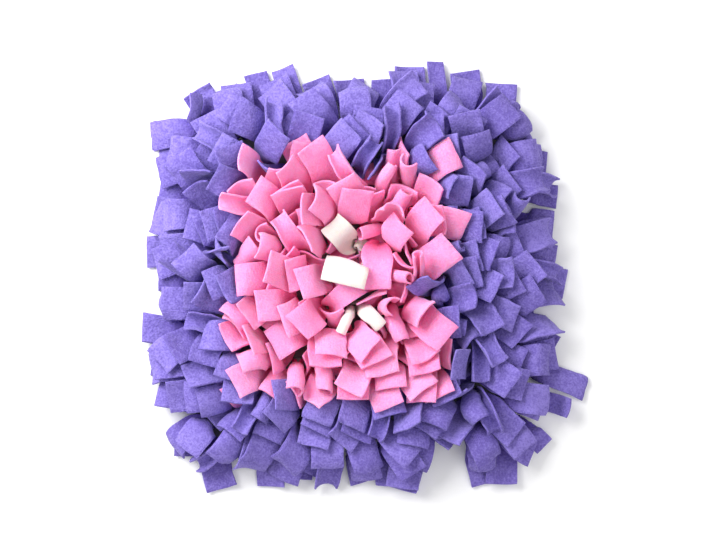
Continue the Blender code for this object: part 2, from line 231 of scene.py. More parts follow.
# Tails that lie on the floor: the place along the side, where the tip ends, and its width
EdgeTail = namedtuple("EdgeTail", "place tip_x tip_y width")
EDGE_TAILS = {
    "top": (
        EdgeTail(-5, -163, 187, 27),
        EdgeTail(-4, -134, 184, 27),
        EdgeTail(-3, -107, 204, 20),
        EdgeTail(-2, -79, 209, 20),
        EdgeTail(-1, -45, 197, 26),
        EdgeTail(0, -13, 197, 27),
        EdgeTail(1, 33, 200, 24),
        EdgeTail(2, 52, 211, 27),
        EdgeTail(3, 77, 219, 14),
        EdgeTail(4, 112, 208, 26),
        EdgeTail(5, 146, 195, 27),
    ),
    "right": (
        EdgeTail(5, 171, 150, 27),
        EdgeTail(4, 190, 112, 27),
        EdgeTail(3, 203, 88, 20),
        EdgeTail(2, 200, 54, 24),
        EdgeTail(1, 203, 20, 27),
        EdgeTail(0, 210, -10, 26),
        EdgeTail(-1, 185, -36, 27),
        EdgeTail(-2, 190, -78, 27),
        EdgeTail(-3, 230, -109, 20),
        EdgeTail(-4, 217, -134, 16),
        EdgeTail(-5, 176, -183, 18),
    ),
    "bottom": (
        EdgeTail(5, 143, -203, 27),
        EdgeTail(4, 121, -206, 20),
        EdgeTail(2, 49, -211, 27),
        EdgeTail(1, 27, -207, 14),
        EdgeTail(0, 9, -203, 27),
        EdgeTail(-1, -34, -200, 24),
        EdgeTail(-2, -56, -200, 24),
        EdgeTail(-3, -81, -205, 24),
        EdgeTail(-4, -104, -192, 26),
        EdgeTail(-5, -133, -209, 27),
    ),
    "left": (
        EdgeTail(-5, -179, -172, 27),
        EdgeTail(-4, -188, -117, 27),
        EdgeTail(-3, -202, -89, 26),
        EdgeTail(-2, -210, -51, 26),
        EdgeTail(-1, -186, -35, 26),
        EdgeTail(0, -198, -4, 26),
        EdgeTail(1, -209, 18, 27),
        EdgeTail(2, -201, 72, 26),
        EdgeTail(3, -196, 91, 22),
        EdgeTail(4, -199, 115, 22),
        EdgeTail(5, -206, 138, 26),
    ),
}


def lying_sections(start, outward, tip, width, layer):
    """A tail that leaves from under the mat's edge and lies out over the floor."""
    along = (tip - start).normalized()
    reach = (tip - start).length
    across = UP.cross(along)
    root_across = UP.cross(outward)
    rest = UP * (FLEECE_THICKNESS / 2)
    lift = UP * (layer * LAYER_RISE)
    tucked_width = min(width, TUCKED_WIDTH)
    leaving = start + outward * (MAT_SIDE / 2 + EDGE_CLEAR - EDGE_START) + rest
    spread = start + along * (EDGE_FLARE + MAT_SIDE / 2 - EDGE_START) + rest + lift
    middle = start + along * reach * MIDDLE_SHARE + rest + lift
    return [
        Section(start + UP * (BAND_THICKNESS / 2), root_across, UP, tucked_width, TUCKED_THICKNESS),
        Section(leaving, root_across, UP, tucked_width, FLEECE_THICKNESS),
        Section(spread, across, UP, width, FLEECE_THICKNESS),
        Section(middle, across, UP, width, FLEECE_THICKNESS),
        Section(tip + rest + lift, across, UP, width, FLEECE_THICKNESS),
    ]


laid_tails = []
floor_tails = {}
outwards = {
    "top": Vector((0.0, 1.0, 0.0)),
    "right": Vector((1.0, 0.0, 0.0)),
    "bottom": Vector((0.0, -1.0, 0.0)),
    "left": Vector((-1.0, 0.0, 0.0)),
}
for side, table in EDGE_TAILS.items():
    outward = outwards[side]
    sideways = Vector((abs(outward.y), abs(outward.x), 0.0))
    for item in table[::2] + table[1::2]:
        start = outward * EDGE_START + sideways * item.place * HOLE_PITCH
        tip = Vector((item.tip_x, item.tip_y, 0.0)) * MM
        for layer in range(MOST_LAYERS):
            sections = lying_sections(start, outward, tip, item.width * MM, layer)
            if is_clear(sections, laid_tails):
                laid_tails.append(make_tail(sections))
                floor_tails[side, item.place] = sections
                break


# Standing tails: two ends come up through each hole, bunched where they pass it, then spread and
# flop outward over their neighbours like shingles.  Those in the table leave the general fan.

BUNCHED_WIDTH = 0.0078
BUNCHED_THICKNESS = 0.0034
BUNCHED_OFFSET = 0.0022
ROOT_DEPTH = 0.0013
COLLAR_HEIGHT = 0.0012
FLARE_SHARE = 0.28
LEANS_BY_RING = (142, 118, 104, 88, 74, 62)
LEAN_STEP = 5
UPRIGHT_LEAN = 56
LEAST_LEAN = 35
MOST_LEAN = 166
HEADING_SPREAD = 42
PAIR_SPREAD = 16
PAIR_LEAN = 12
TURNS_TO_TRY = (0, 9, -9, 18, -18)
ROLL_SPREAD = 14
LENGTH_SPREAD = 0.07
FOLD_WIDTHS = (1.0, 0.7, 0.5)
FOLDED_SHARE = 0.75
FOLDED_THICKNESS = 0.0041
BACK_TO_BACK_COSINE = 0.5
SEED = 3
PINK_COLUMNS = (-3, 2)
PINK_ROWS = (-3, 3)
WHITE_HOLES = ((0, -1), (0, 0), (0, 1))


# Tails that leave the general fan: the hole, which of its two tails, where it heads, how far it
# leans over, its width, its twist, and its rank, which is below 0 where it is laid before the rest
Stray = namedtuple("Stray", "column row tail heading lean width roll rank")
STRAYS = (
    # white knot
    Stray(0, 1, "outer", 132, 74, 20, 0, -3),
    Stray(0, 1, "inner", 312, 126, 15, 0, -3),
    Stray(0, 0, "outer", 200, 96, 27, 0, -3),
    Stray(0, 0, "inner", 20, 130, 12, 0, -3),
    Stray(0, -1, "outer", 248, 104, 13, 0, -3),
    Stray(0, -1, "inner", 318, 96, 14, 0, -3),
    # pink tails round the knot, some of them over it
    Stray(1, 1, "outer", 20, 92, 27, 0, 0),
    Stray(1, 1, "inner", 236, 88, 27, 0, -1),
    Stray(1, 0, "outer", 350, 92, 27, 0, 0),
    Stray(1, 0, "inner", 238, 70, 16, 0, -2),
    Stray(-1, 0, "outer", 184, 92, 27, 0, 0),
    Stray(-1, -1, "inner", 30, 70, 20, 0, -2),
    Stray(-1, 1, "outer", 160, 92, 27, 0, 0),
    Stray(-1, 1, "inner", 144, 78, 27, 0, 0),
    Stray(0, 2, "outer", 84, 92, 27, 0, 0),
    # pink tails at the edge of their block
    Stray(-3, 3, "outer", 124, 108, 27, 0, 0),
    Stray(-3, 3, "inner", 138, 92, 27, 0, 0),
    Stray(-2, 3, "outer", 96, 112, 24, 0, 0),
    Stray(-2, 3, "inner", 91, 96, 27, 0, 0),
    Stray(0, 3, "outer", 72, 112, 27, 0, 0),
    Stray(1, 3, "outer", 62, 96, 14, 0, 0),
    Stray(1, 3, "inner", 50, 88, 22, 0, 0),
    Stray(2, 3, "outer", 38, 116, 27, 0, 0),
    Stray(2, 3, "inner", 50, 92, 27, 0, 0),
    Stray(2, 2, "outer", 8, 100, 27, 0, 0),
    Stray(2, 2, "inner", 16, 86, 27, 0, 0),
    Stray(2, 1, "outer", 22, 108, 27, 0, 0),
    Stray(2, 0, "outer", 36, 96, 27, 0, 0),
    Stray(2, 0, "inner", 44, 84, 24, 0, 0),
    Stray(2, -1, "outer", 336, 116, 14, 0, 0),
    Stray(2, -3, "outer", 290, 96, 27, 0, 0),
    Stray(1, -3, "outer", 276, 116, 27, 0, 0),
    Stray(0, -3, "outer", 268, 96, 27, 0, 0),
    Stray(-2, -3, "outer", 254, 114, 27, 0, 0),
    Stray(-3, -3, "outer", 222, 104, 27, 0, 0),
    Stray(-3, -2, "outer", 184, 116, 22, 0, 0),
    Stray(-3, -1, "outer", 189, 106, 26, 0, 0),
    Stray(-3, 0, "outer", 188, 108, 16, 0, 0),
    Stray(-3, 2, "outer", 168, 108, 27, 0, 0),
    # purple tails that fall over the pink, and those that give way to them
    Stray(1, 4, "inner", 236, 66, 14, 0, -1),
    Stray(3, 3, "inner", 165, 52, 18, 0, -1),
    Stray(3, 3, "outer", 350, 100, 27, 0, 0),
    Stray(3, 0, "inner", 210, 66, 18, 0, -1),
    Stray(3, 0, "outer", 20, 106, 27, 0, 0),
    Stray(4, -3, "inner", 155, 66, 22, 0, -1),
    Stray(4, -3, "outer", 334, 112, 27, 0, 0),
    Stray(3, -2, "outer", 350, 96, 27, 0, 0),
    Stray(3, -2, "inner", 2, 84, 27, 0, 0),
    # the arch in the lower rim
    Stray(2, -5, "outer", 262, 120, 27, 0, 0),
    Stray(2, -5, "inner", 256, 104, 27, 0, 0),
    Stray(3, -5, "outer", 246, 84, 27, 0, 0),
    Stray(3, -5, "inner", 252, 72, 27, 0, 0),
    Stray(4, -5, "outer", 296, 90, 27, 0, 0),
    Stray(4, -5, "inner", 304, 80, 27, 0, 0),
    Stray(3, -4, "outer", 264, 94, 27, 0, 0),
    Stray(3, -4, "inner", 272, 82, 27, 0, 0),
)


StandingTail = namedtuple("StandingTail", "column row tail heading lean roll width length")


def direction(degrees):
    return Vector((math.cos(math.radians(degrees)), math.sin(math.radians(degrees)), 0.0))


def parting_of(outer_heading, inner_heading):
    """The way in which the two tails of a hole stand apart: one behind the other, or back to back."""
    outer = direction(outer_heading)
    inner = direction(inner_heading)
    if outer.dot(inner) > BACK_TO_BACK_COSINE:
        return (outer + inner).normalized()
    return (outer - inner).normalized()


def standing_sections(root, parting, heading, lean, roll, width, length):
    """A tail that comes up through its hole, bunched, then spreads and leans over in one curve."""
    along = direction(heading)
    across = direction(heading + 90)
    root_across = UP.cross(parting)
    root_width, root_thickness = BUNCHED_WIDTH, BUNCHED_THICKNESS
    if abs(root_across.dot(across)) < abs(parting.dot(across)):
        root_across = parting.copy()
        root_width, root_thickness = BUNCHED_THICKNESS, BUNCHED_WIDTH
    if root_across.dot(across) < 0.0:
        root_across.negate()
    root_normal = UP.cross(root_across)
    folded = width < FLEECE_WIDTH * FOLDED_SHARE
    thickness = FOLDED_THICKNESS if folded else FLEECE_THICKNESS
    sections = []
    for height in (BAND_THICKNESS - ROOT_DEPTH, MAT_TOP + COLLAR_HEIGHT):
        centre = root + UP * height
        sections.append(Section(centre, root_across, root_normal, root_width, root_thickness))
    turn = math.radians(lean)
    radius = length / turn
    start = sections[-1].centre
    for share in (FLARE_SHARE, MIDDLE_SHARE, 1.0):
        bend = turn * share
        centre = start + along * radius * (1.0 - math.cos(bend)) + UP * radius * math.sin(bend)
        tangent = along * math.sin(bend) + UP * math.cos(bend)
        normal = tangent.cross(across)
        swing = math.radians(roll) * share
        rolled = across * math.cos(swing) + normal * math.sin(swing)
        sections.append(Section(centre, rolled, tangent.cross(rolled), width, thickness))
    return sections


def ring_of(column, row):
    return LAST - max(abs(column), abs(row))


def colour_of(column, row):
    if (column, row) in WHITE_HOLES:
        return "white"
    in_block = PINK_COLUMNS[0] <= column <= PINK_COLUMNS[1] and PINK_ROWS[0] <= row <= PINK_ROWS[1]
    return "pink" if in_block else "purple"


def hole_centre(column, row):
    return Vector((column * HOLE_PITCH, row * HOLE_PITCH, 0.0))


def tail_plan():
    """Both tails of every hole in the order of laying: by rank, then from the rim inwards."""
    draw = random.Random(SEED)
    strays = {(stray.column, stray.row, stray.tail): stray for stray in STRAYS}
    plan = []
    for row in range(-LAST, LAST + 1):
        for column in range(-LAST, LAST + 1):
            fan = math.degrees(math.atan2(row, column)) + draw.uniform(-HEADING_SPREAD, HEADING_SPREAD)
            ring_lean = LEANS_BY_RING[ring_of(column, row)]
            for tail in ("outer", "inner"):
                order = (-math.hypot(column, row), tail == "inner", draw.random())
                heading = fan + draw.uniform(-PAIR_SPREAD, PAIR_SPREAD)
                roll = draw.uniform(-ROLL_SPREAD, ROLL_SPREAD)
                length = TAIL_LENGTH * (1.0 + draw.uniform(-LENGTH_SPREAD, LENGTH_SPREAD))
                lean = ring_lean if tail == "outer" else ring_lean - PAIR_LEAN
                rank = 0
                width = FLEECE_WIDTH
                stray = strays.get((column, row, tail))
                if stray:
                    heading, lean, roll, rank = stray.heading, stray.lean, stray.roll, stray.rank
                    width = stray.width * MM
                item = StandingTail(column, row, tail, heading, lean, roll, width, length)
                plan.append((rank, *order, item))
    return [entry[-1] for entry in sorted(plan)]


def ways_to_lie(lean):
    """Leans and foldings to try: more upright first, then bowed down under the neighbours."""
    return (
        (range(lean, UPRIGHT_LEAN, -LEAN_STEP), FOLD_WIDTHS[:2]),
        (range(lean, LEAST_LEAN, -LEAN_STEP), FOLD_WIDTHS),
        (range(lean + LEAN_STEP, MOST_LEAN, LEAN_STEP), FOLD_WIDTHS),
    )


def lay_standing_tails(laid):
    """Each tail is laid over those before it, and stands up more where they would meet."""
    plan = tail_plan()
    headings = {(item.column, item.row, item.tail): item.heading for item in plan}
    placed = {}
    for item in plan:
        hole = item.column, item.row
        parting = parting_of(headings[(*hole, "outer")], headings[(*hole, "inner")])
        offset = BUNCHED_OFFSET if item.tail == "outer" else -BUNCHED_OFFSET
        root = hole_centre(*hole) + parting * offset
        tries = [
            (item.heading + turn, lean, item.roll * straight, item.width * narrowing)
            for leans, folds in ways_to_lie(item.lean)
            for lean in leans
            for narrowing in folds
            for turn in TURNS_TO_TRY
            for straight in (1, 0)
        ]
        for heading, lean, roll, width in tries:
            sections = standing_sections(root, parting, heading, lean, roll, width, item.length)
            if is_clear(sections, laid):
                laid.append(make_tail(sections))
                placed[(*hole, item.tail)] = sections, heading, lean
                break
    return placed


standing_tails = lay_standing_tails(laid_tails)


# Infill tails: away from the rim, the holes pass further ends, squeezed into the corners of the square.
# Each is laid as a narrow end only just pushed through, and grows into the room the others leave it.

CORNER_OFFSET = 0.0068
SQUEEZED = 0.0016
PUSHED_WIDTH = 0.005
PUSHED_LEANS = (30, 45, 15, 60)
PUSHED_LENGTHS = (0.034, 0.026, 0.019, 0.013)
CORNER_ANGLES = (45, 135, 225, 315)
INFILL_NAMES = ("third", "fourth")
INFILL_SEED = 7
KNOT_REACH = 2.3


def pushed_sections(hole, angle, lean, length):
    """An end just pushed up through a corner of its hole, still narrow and straight."""
    corner = hole_centre(*hole) + direction(angle) * CORNER_OFFSET
    across = direction(angle + 90)
    tangent = direction(angle) * math.sin(math.radians(lean)) + UP * math.cos(math.radians(lean))
    sections = [
        Section(corner + UP * height, across, UP.cross(across), SQUEEZED, SQUEEZED)
        for height in (BAND_THICKNESS - ROOT_DEPTH, MAT_TOP + COLLAR_HEIGHT)
    ]
    collar = sections[-1].centre
    for share in (FLARE_SHARE, 1.0):
        centre = collar + tangent * length * share
        sections.append(Section(centre, across, tangent.cross(across), PUSHED_WIDTH, FLEECE_THICKNESS))
    return sections


def infill_headings():
    """Where each further tail of each hole heads, in the order of laying; round the knot, anywhere."""
    draw = random.Random(INFILL_SEED)
    columns_by_pink = range(PINK_COLUMNS[0] - 1, PINK_COLUMNS[1] + 2)
    rows_by_pink = range(PINK_ROWS[0] - 1, PINK_ROWS[1] + 2)
    inner_holes = [(column, row) for column in range(1 - LAST, LAST) for row in range(1 - LAST, LAST)]
    headings = {}
    for name in INFILL_NAMES:
        for hole in sorted(inner_holes, key=lambda hole: -math.hypot(*hole)):
            near_knot = math.hypot(*hole) < KNOT_REACH
            by_pink = hole[0] in columns_by_pink and hole[1] in rows_by_pink
            if hole in WHITE_HOLES or (name == "fourth" and by_pink and not near_knot):
                continue
            fan = math.degrees(math.atan2(hole[1], hole[0]))
            headings[(*hole, name)] = draw.uniform(0, 360) if near_knot else fan % 360
    return headings


def lay_infill_tails(laid):
    """Further tails for every hole with a free corner, tried from the corner that they head for."""
    infill = {}
    for key, heading in infill_headings().items():
        corners = sorted(CORNER_ANGLES, key=lambda angle: abs((angle - heading + 180) % 360 - 180))
        tries = [
            (angle, lean, length)
            for length in PUSHED_LENGTHS
            for angle in corners
            for lean in PUSHED_LEANS
        ]
        for angle, lean, length in tries:
            sections = pushed_sections(key[:2], angle, lean, length)
            if is_clear(sections, laid):
                laid.append(make_tail(sections))
                infill[key] = sections, heading, lean
                break
    return infill


infill_tails = lay_infill_tails(laid_tails)


# Settling: the strips are sewn to nothing, so they take their folds from their own weight.  Each is
# held where it passes its hole, grows from its laid shape to the cupped, turned shape that a strip
# pulled through a hole takes, pushes its neighbours as it does so, and then rests on them.

SETTLING_SCALE = 10.0
GROWING_FRAMES = 18
SETTLING_FRAMES = 32
SETTLING_SEED = 5
STRIP_FULLNESS = 1.16
WIDTH_SPREAD = 0.0015
GATHERED_WIDTH = 0.018
GATHERED_CURVE = 170.0
SPREAD_SHARE = 0.42
PINK_FULLNESS = 1.08
CUPPED_SHARE = 0.2
DEEP_CUPS = (35.0, 80.0)
SHALLOW_CUPS = (3.0, 18.0)
CUT_SLANT = 0.003
RIM_CALM = 0.35
CURLED_SHARE = 0.5
SLANTED_SHARE = 0.3
LEAST_BEND = 92
INFILL_LENGTH_SHARE = 0.93
KNOT_LENGTH_SHARE = 0.72

strip_draw = random.Random(SETTLING_SEED)


def smooth(share):
    share = min(max(share, 0.0), 1.0)
    return share * share * (3 - 2 * share)


def row_stops(sections):
    """How far along the strip each of its rows lies: the first two rows are held in the hole."""
    reached = [0.0]
    for before, after in zip(sections, sections[1:]):
        reached.append(reached[-1] + (after.centre - before.centre).length)
    return reached, [0.0, *np.linspace(reached[1], reached[-1], CELLS_ALONG)]


def laid_points(sections):
    """The strip as it is first laid, flat through its sections."""
    reached, stops = row_stops(sections)
    grid = np.empty((CELLS_ALONG + 1, CELLS_ACROSS + 1, 3))
    for row, stop in enumerate(stops):
        index = min(max(int(np.searchsorted(reached, stop)), 1), len(sections) - 1)
        before, after = sections[index - 1], sections[index]
        share = (stop - reached[index - 1]) / (reached[index] - reached[index - 1])
        centre = before.centre.lerp(after.centre, share)
        across = before.across.lerp(after.across, share).normalized()
        width = before.width + (after.width - before.width) * share
        for column in range(CELLS_ACROSS + 1):
            grid[row, column] = centre + across * width * (column / CELLS_ACROSS - 0.5)
    return grid


def length_of(sections):
    """The length of a strip from where it leaves its hole."""
    return sum((after.centre - before.centre).length for before, after in zip(sections[1:], sections[2:]))


# How a strip likes to lie: its length and width, the angles in degrees at which it starts, bends over,
# turns at its root and further aside, twists and curls at its tip, its cup as a curvature, and how
# askew its end is cut
Manner = namedtuple("Manner", "length width start bend turn aside twist curl cup slant")


def floor_manner(sections):
    """Nearly flat on the floor, its edges and tip a little off it."""
    return Manner(
        length=length_of(sections),
        width=sections[-1].width * STRIP_FULLNESS,
        start=90.0,
        bend=8.0,
        turn=0.0,
        aside=0.0,
        twist=0.0,
        curl=strip_draw.gauss(0.0, 16.0),
        cup=strip_draw.choice((-1, 1)) * strip_draw.uniform(3.0, 22.0),
        slant=strip_draw.uniform(-CUT_SLANT, CUT_SLANT),
    )


def standing_manner(column, row, sections, lean):
    """Bent over, cupped or folded, and turned a little aside; the rim less so, and the pink ones longer."""
    calm = RIM_CALM if ring_of(column, row) == 0 else 1.0
    least_bend = 0 if math.hypot(column, row) < KNOT_REACH else LEAST_BEND
    fullness = PINK_FULLNESS if colour_of(column, row) == "pink" else 1.0
    folded = sections[-1].width < FLEECE_WIDTH * FOLDED_SHARE
    side = strip_draw.choice((-1, -1, -1, 1, 1))
    cupped = strip_draw.random() < CUPPED_SHARE
    cup = strip_draw.uniform(*(DEEP_CUPS if cupped else SHALLOW_CUPS))
    return Manner(
        length=length_of(sections) * fullness,
        width=FLEECE_WIDTH * STRIP_FULLNESS + strip_draw.uniform(-WIDTH_SPREAD, WIDTH_SPREAD),
        start=0.0,
        bend=max(lean, least_bend) + calm * strip_draw.gauss(0.0, 12.0),
        turn=0.0,
        aside=calm * strip_draw.gauss(0.0, 26.0),
        twist=strip_draw.gauss(0.0, 16.0),
        curl=strip_draw.gauss(0.0, 28.0),
        cup=side * (2.0 / sections[-1].width if folded else cup),
        slant=strip_draw.uniform(-CUT_SLANT, CUT_SLANT),
    )


def infill_manner(column, row):
    """Like the other standing tails, but more folded, and short round the knot."""
    near_knot = math.hypot(column, row) < KNOT_REACH
    return Manner(
        length=TAIL_LENGTH * (KNOT_LENGTH_SHARE if near_knot else INFILL_LENGTH_SHARE),
        width=FLEECE_WIDTH * STRIP_FULLNESS,
        start=0.0,
        bend=strip_draw.uniform(70.0, 110.0),
        turn=0.0,
        aside=strip_draw.gauss(0.0, 35.0),
        twist=strip_draw.gauss(0.0, 16.0),
        curl=strip_draw.gauss(0.0, 25.0),
        cup=strip_draw.choice((-1, -1, 1)) * strip_draw.uniform(6.0, 36.0),
        slant=strip_draw.uniform(-CUT_SLANT, CUT_SLANT),
    )


# Tails with a way of their own, by hole and tail, or by side and place for those on the floor
OWN_WAYS = {
    # white knot: a short tail, a wide flap, a tube, a plain tail and two short hidden ones
    (0, 1, "outer"): {
        "start": 20, "bend": 5, "turn": 60, "aside": -58, "twist": 0, "curl": 82, "cup": -25,
        "length": 0.054, "width": 0.026,
    },
    (0, 1, "inner"): {"length": 0.030, "width": 0.015},
    (0, 0, "outer"): {
        "start": -44, "bend": 62, "turn": 134, "aside": -78, "twist": 0, "curl": 80, "cup": 9,
        "length": 0.078, "width": 0.043,
    },
    (0, 0, "inner"): {"length": 0.030, "width": 0.012},
    (0, -1, "outer"): {
        "bend": 40, "turn": -10, "aside": 8, "twist": 0, "curl": 60, "cup": 200,
        "length": 0.062, "width": 0.024,
    },
    (0, -1, "inner"): {
        "bend": 40, "turn": -14, "aside": 0, "twist": 0, "curl": 60, "cup": 80,
        "length": 0.064, "width": 0.015,
    },
    # pink tails round the knot: one over it, two short ones and two narrow ones
    (1, 1, "fourth"): {
        "start": 16, "bend": 42, "turn": -143, "aside": 26, "twist": 0, "curl": 42, "cup": -10,
        "length": 0.072,
    },
    (-1, 1, "third"): {"length": 0.030},
    (-1, 0, "fourth"): {"length": 0.030},
    (1, 0, "inner"): {"bend": 96, "aside": 20, "cup": -50, "width": 0.020},
    (-1, -1, "inner"): {"bend": 90, "aside": 0, "cup": -20, "width": 0.020},
    # pink tails that reach far over the purple
    (2, 3, "third"): {"turn": -22, "aside": 0, "cup": 12, "length": 0.074},
    (2, 2, "outer"): {"turn": -30, "aside": 0, "cup": 10, "length": 0.076},
    (2, 1, "outer"): {"turn": -45, "aside": 0, "cup": -10, "length": 0.078},
    (2, 0, "outer"): {"turn": -50, "aside": 0, "cup": 12, "length": 0.078},
    (2, -1, "outer"): {"aside": 0, "cup": -10, "length": 0.078},
    # purple tails beside those, which are short
    (3, 2, "inner"): {"length": 0.050},
    (3, 1, "inner"): {"length": 0.046},
    (3, -1, "inner"): {"length": 0.050},
    # pink tails that are short where purple ones lie over them
    (-3, 1, "outer"): {"length": 0.046},
    (-3, 0, "outer"): {"length": 0.044},
    # purple tails over the pink
    (1, 4, "inner"): {"cup": -15, "aside": 0, "width": 0.022},
    (3, 3, "inner"): {"cup": -15, "aside": 0, "width": 0.024},
    (3, 0, "inner"): {"bend": 88, "cup": -20, "aside": -20, "curl": 60},
    (4, -3, "inner"): {"cup": -12, "aside": 0, "width": 0.030},
    # the corners and notches of the rim
    (5, 5, "outer"): {"length": 0.044, "turn": 52},
    (5, 5, "inner"): {"length": 0.046, "turn": -58},
    (4, 5, "outer"): {"length": 0.050, "turn": 24},
    ("right", 4): {"turn": -8},
    (5, 4, "outer"): {"length": 0.046, "turn": -14},
    (5, 4, "inner"): {"length": 0.052},
    (-5, 5, "outer"): {"turn": 22},
    (-5, 5, "inner"): {"length": 0.050, "turn": -64, "aside": -22},
    ("left", -5): {"turn": 44},
    ("left", -3): {"turn": -6},
    (-5, -3, "outer"): {"turn": -10},
    (-5, -3, "inner"): {"turn": -10},
    (-5, -5, "outer"): {"length": 0.044, "turn": 2, "aside": 26},
    (-5, -5, "inner"): {"length": 0.050, "turn": 6, "aside": 20},
    (-4, -4, "third"): {"length": 0.034},
    (-5, -4, "outer"): {"length": 0.052, "turn": -42, "aside": -28},
    (-5, -4, "inner"): {"length": 0.052, "turn": -32, "aside": -28},
    (5, -5, "outer"): {"length": 0.044, "turn": -34},
    (5, -5, "inner"): {"length": 0.044, "turn": -28},
    ("right", -5): {"length": 0.034, "turn": -31},
    (3, -5, "outer"): {"length": 0.027},
    (3, -5, "inner"): {"length": 0.030},
    ("bottom", 4): {"turn": 10},
    (4, -5, "outer"): {"turn": 8},
    ("bottom", 0): {"turn": 11},
    (0, -5, "outer"): {"turn": 12},
    (0, -5, "inner"): {"turn": 8},
    ("bottom", 2): {"turn": -8},
    (2, -5, "inner"): {"turn": -16, "aside": -8},
    ("bottom", -1): {"turn": -18},
    (-1, -5, "outer"): {"turn": -10, "aside": -18},
    (-1, -5, "inner"): {"turn": -16, "aside": -18},
    (0, 5, "outer"): {"turn": -18, "curl": 0},
    (0, 5, "inner"): {"turn": -14},
    ("right", 0): {"turn": 8},
    (-4, 5, "outer"): {"length": 0.050},
    (5, 3, "outer"): {"length": 0.054},
    (5, 1, "outer"): {"aside": -16, "length": 0.054},
    (5, 1, "inner"): {"aside": -16},
    (5, -2, "outer"): {"length": 0.052},
    (5, -3, "outer"): {"aside": 22},
    (5, -3, "inner"): {"aside": 22},
}


# Tails arranged one by one, which are held this much to their own way
ARRANGED_TAILS = (
    (0, 1, "outer"),
    (0, 0, "outer"),
    (0, -1, "outer"),
    (0, -1, "inner"),
    (1, 1, "fourth"),
)
ARRANGED_HOLD = 0.9


def relaxed_points(sections, laid, heading, manner):
    """The shape the strip would take on its own, from its held rows to its tip."""
    start, bend, twist, curl = (
        math.radians(angle) for angle in (manner.start, manner.bend, manner.twist, manner.curl)
    )
    grid = laid.copy()
    centre = sections[1].centre
    for row in range(HELD_ROWS, CELLS_ALONG + 1):
        share = (row - 1) / (CELLS_ALONG - 1)
        spread = smooth(share / SPREAD_SHARE)
        angle = start + bend * share + curl * smooth((share - (1 - CURLED_SHARE)) / CURLED_SHARE)
        along = direction(heading + manner.turn + manner.aside * spread)
        tangent = along * math.sin(angle) + UP * math.cos(angle)
        normal = UP * math.sin(angle) - along * math.cos(angle)
        level = tangent.cross(normal)
        across = level * math.cos(twist * share) + normal * math.sin(twist * share)
        facing = tangent.cross(across)
        if across.dot(sections[1].across) < 0.0:
            across = -across
        centre = centre + tangent * (manner.length / (CELLS_ALONG - 1))
        gathered = min(manner.width, GATHERED_WIDTH)
        width = gathered + (manner.width - gathered) * spread
        curve = manner.cup + (math.copysign(GATHERED_CURVE, manner.cup) - manner.cup) * (1 - spread)
        askew = smooth((share - (1 - SLANTED_SHARE)) / SLANTED_SHARE)
        for column in range(CELLS_ACROSS + 1):
            place = column / CELLS_ACROSS - 0.5
            turn = width * place * curve
            point = centre + across * (math.sin(turn) / curve) + facing * ((1 - math.cos(turn)) / curve)
            grid[row, column] = point + tangent * (manner.slant * place * askew)
    return grid


tail_keys = []
laid_grids = []
relaxed_grids = []


def add_tail(key, sections, heading, manner):
    """Keeps a tail's laid shape and its relaxed one, which follows its own way if it has one."""
    laid = laid_points(sections)
    own_manner = manner._replace(**OWN_WAYS.get(key, {}))
    tail_keys.append(key)
    laid_grids.append(laid)
    relaxed_grids.append(relaxed_points(sections, laid, heading, own_manner))


for key, sections in floor_tails.items():
    reach = sections[-1].centre - sections[-2].centre
    add_tail(key, sections, math.degrees(math.atan2(reach.y, reach.x)), floor_manner(sections))
for key, (sections, heading, lean) in {**standing_tails, **infill_tails}.items():
    column, row, tail = key
    if tail in INFILL_NAMES:
        manner = infill_manner(column, row)
    else:
        manner = standing_manner(column, row, sections, lean)
    add_tail(key, sections, heading, manner)


def on_strip(grid):
    """Grid points in the order of the cut strip's own corners."""
    return grid[strip_rows, strip_columns]


